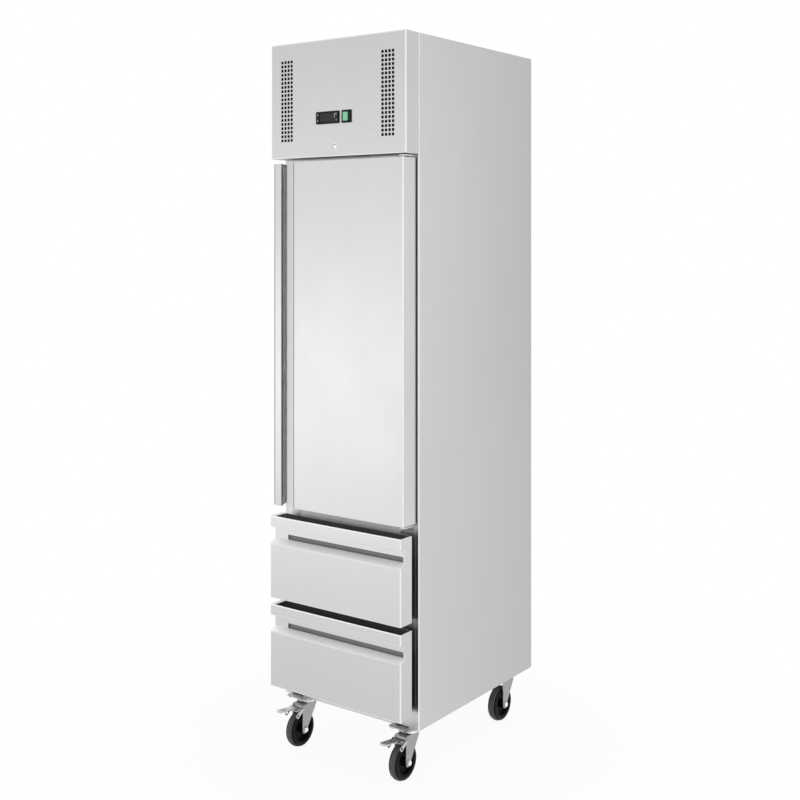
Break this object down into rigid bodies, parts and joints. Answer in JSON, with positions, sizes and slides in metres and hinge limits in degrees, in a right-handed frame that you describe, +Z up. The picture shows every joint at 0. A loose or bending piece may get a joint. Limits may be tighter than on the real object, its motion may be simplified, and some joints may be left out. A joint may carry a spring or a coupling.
{
  "type": "commercial upright freezer",
  "caption": "Slim upright commercial freezer with a steel cabinet, a door above pull-out drawers, a vented header with controls, and swivel castors, the front ones braked.",
  "frame": {"origin": "centre of the overall box on the floor, under the cabinet", "axes": "+Z up, -Y out of the door and drawers, +X to the right as seen from the front"},
  "size_m": [0.47, 0.672, 1.982],
  "materials": {
    "panel_steel": "fine vertical grain, satin",
    "front_steel": "fine grain, satin",
    "liner_steel": "satin",
    "galvanised": "galvanised sheet",
    "insulation": "rigid foam",
    "shelf_wire": "plastic coated wire",
    "white_plastic": "satin",
    "black_plastic": "satin",
    "display": "dark window",
    "button_grey": "matt",
    "rocker_green": "translucent green",
    "bright_metal": "polished plating",
    "zinc": "bright zinc plating",
    "compressor_black": "black enamel",
    "fin_metal": "thin fins",
    "copper": "drawn copper tube",
    "seal_grey": "soft profile",
    "seal_black": "soft profile",
    "wheel_black": "hard rubber"
  },
  "bodies": {
    "cabinet": {"side_panel_left": "panel_steel", "side_panel_right": "panel_steel", "back_panel": "galvanised", "rear_guard": "galvanised", "base_pan": "galvanised", "unit_deck": "galvanised", "insulation": "insulation", "cabinet_liner": "liner_steel", "front_frame": "front_steel", "shelf_supports": "liner_steel", "wire_shelves": "shelf_wire", "evaporator_cover": "white_plastic", "evaporator_coil": "fin_metal", "header_panel": "panel_steel", "controller_case": "black_plastic", "display_lens": "display", "switch_bezel": "black_plastic", "lock_housing": "bright_metal", "compressor": "compressor_black", "condenser": "fin_metal", "fan_motor": "compressor_black", "refrigerant_pipes": "copper", "supply_box": "black_plastic", "hinge_brackets": "zinc", "drawer_fixed_rails": "zinc", "castor_plates": "zinc"},
    "door": {"door_skin": "front_steel", "door_core": "insulation", "door_inner_panel": "liner_steel", "door_seal": "seal_grey", "door_handle": "front_steel", "door_bushes": "white_plastic"},
    "upper_drawer": {"upper_drawer_front": "front_steel", "upper_drawer_backing": "black_plastic", "upper_drawer_seal": "seal_black", "upper_drawer_box": "liner_steel"},
    "lower_drawer": {"lower_drawer_front": "front_steel", "lower_drawer_backing": "black_plastic", "lower_drawer_seal": "seal_black", "lower_drawer_box": "liner_steel"},
    "upper_runner": {"upper_runner": "zinc"},
    "lower_runner": {"lower_runner": "zinc"},
    "lock": {"lock_plug": "bright_metal"},
    "rocker": {"switch_rocker": "rocker_green"},
    "evaporator_fan": {"evaporator_fan": "black_plastic"},
    "condenser_fan": {"condenser_fan": "black_plastic"},
    "button_up": {"button_up": "button_grey"},
    "button_down": {"button_down": "button_grey"},
    "button_set": {"button_set": "button_grey"},
    "button_defrost": {"button_defrost": "button_grey"},
    "swivel_fl": {"castor_fork_fl": "zinc"},
    "wheel_fl": {"castor_wheel_fl": "wheel_black"},
    "swivel_fr": {"castor_fork_fr": "zinc"},
    "wheel_fr": {"castor_wheel_fr": "wheel_black"},
    "swivel_rl": {"castor_fork_rl": "zinc"},
    "wheel_rl": {"castor_wheel_rl": "wheel_black"},
    "swivel_rr": {"castor_fork_rr": "zinc"},
    "wheel_rr": {"castor_wheel_rr": "wheel_black"},
    "pedal_l": {"brake_pedal_l": "zinc"},
    "pedal_r": {"brake_pedal_r": "zinc"}
  },
  "joints": [
    {"name": "door_hinge", "type": "hinge", "parent": "cabinet", "child": "door", "pos_m": [0.2125, -0.292, 1.17], "axis": [0, 0, 1], "range_deg": [0, 105]},
    {"name": "upper_drawer_slide", "type": "slide", "parent": "cabinet", "child": "upper_drawer", "axis": [0, -1, 0], "range_m": [0, 0.44]},
    {"name": "upper_runner_slide", "type": "slide", "parent": "cabinet", "child": "upper_runner", "axis": [0, -1, 0], "range_m": [0, 0.22]},
    {"name": "lower_drawer_slide", "type": "slide", "parent": "cabinet", "child": "lower_drawer", "axis": [0, -1, 0], "range_m": [0, 0.44]},
    {"name": "lower_runner_slide", "type": "slide", "parent": "cabinet", "child": "lower_runner", "axis": [0, -1, 0], "range_m": [0, 0.22]},
    {"name": "lock_turn", "type": "hinge", "parent": "cabinet", "child": "lock", "pos_m": [-0.003, -0.308, 1.687], "axis": [0, 1, 0], "range_deg": [0, 90]},
    {"name": "rocker_tilt", "type": "hinge", "parent": "cabinet", "child": "rocker", "pos_m": [0.038, -0.302, 1.768], "axis": [0, 0, -1], "range_deg": [0, 14]},
    {"name": "button_up_press", "type": "slide", "parent": "cabinet", "child": "button_up", "axis": [0, 1, 0], "range_m": [0, 0.0008], "stiffness_N_per_m": 300},
    {"name": "button_down_press", "type": "slide", "parent": "cabinet", "child": "button_down", "axis": [0, 1, 0], "range_m": [0, 0.0008], "stiffness_N_per_m": 300},
    {"name": "button_set_press", "type": "slide", "parent": "cabinet", "child": "button_set", "axis": [0, 1, 0], "range_m": [0, 0.0008], "stiffness_N_per_m": 300},
    {"name": "button_defrost_press", "type": "slide", "parent": "cabinet", "child": "button_defrost", "axis": [0, 1, 0], "range_m": [0, 0.0008], "stiffness_N_per_m": 300},
    {"name": "evaporator_fan_spin", "type": "hinge", "parent": "cabinet", "child": "evaporator_fan", "pos_m": [0, 0.033, 1.534], "axis": [0, 0, 1], "continuous": true},
    {"name": "condenser_fan_spin", "type": "hinge", "parent": "cabinet", "child": "condenser_fan", "pos_m": [0.086, -0.154, 1.818], "axis": [0, -1, 0], "continuous": true},
    {"name": "swivel_fl", "type": "hinge", "parent": "cabinet", "child": "swivel_fl", "pos_m": [-0.1805, -0.22, 0.139], "axis": [0, 0, 1], "continuous": true},
    {"name": "roll_fl", "type": "hinge", "parent": "swivel_fl", "child": "wheel_fl", "pos_m": [-0.1805, -0.248, 0.05], "axis": [1, 0, 0], "continuous": true},
    {"name": "pedal_l", "type": "hinge", "parent": "swivel_fl", "child": "pedal_l", "pos_m": [-0.1805, -0.262, 0.109], "axis": [1, 0, 0], "range_deg": [0, 15], "stiffness_Nm_per_rad": 3},
    {"name": "swivel_fr", "type": "hinge", "parent": "cabinet", "child": "swivel_fr", "pos_m": [0.1805, -0.22, 0.139], "axis": [0, 0, 1], "continuous": true},
    {"name": "roll_fr", "type": "hinge", "parent": "swivel_fr", "child": "wheel_fr", "pos_m": [0.1805, -0.248, 0.05], "axis": [1, 0, 0], "continuous": true},
    {"name": "pedal_r", "type": "hinge", "parent": "swivel_fr", "child": "pedal_r", "pos_m": [0.1805, -0.262, 0.109], "axis": [1, 0, 0], "range_deg": [0, 15], "stiffness_Nm_per_rad": 3},
    {"name": "swivel_rl", "type": "hinge", "parent": "cabinet", "child": "swivel_rl", "pos_m": [-0.1805, 0.27, 0.139], "axis": [0, 0, 1], "continuous": true},
    {"name": "roll_rl", "type": "hinge", "parent": "swivel_rl", "child": "wheel_rl", "pos_m": [-0.1805, 0.242, 0.05], "axis": [1, 0, 0], "continuous": true},
    {"name": "swivel_rr", "type": "hinge", "parent": "cabinet", "child": "swivel_rr", "pos_m": [0.1805, 0.27, 0.139], "axis": [0, 0, 1], "continuous": true},
    {"name": "roll_rr", "type": "hinge", "parent": "swivel_rr", "child": "wheel_rr", "pos_m": [0.1805, 0.242, 0.05], "axis": [1, 0, 0], "continuous": true}
  ],
  "couplings": [
    {"joint": "upper_runner_slide", "follows": "upper_drawer_slide", "ratio": 0.5},
    {"joint": "lower_runner_slide", "follows": "lower_drawer_slide", "ratio": 0.5}
  ]
}
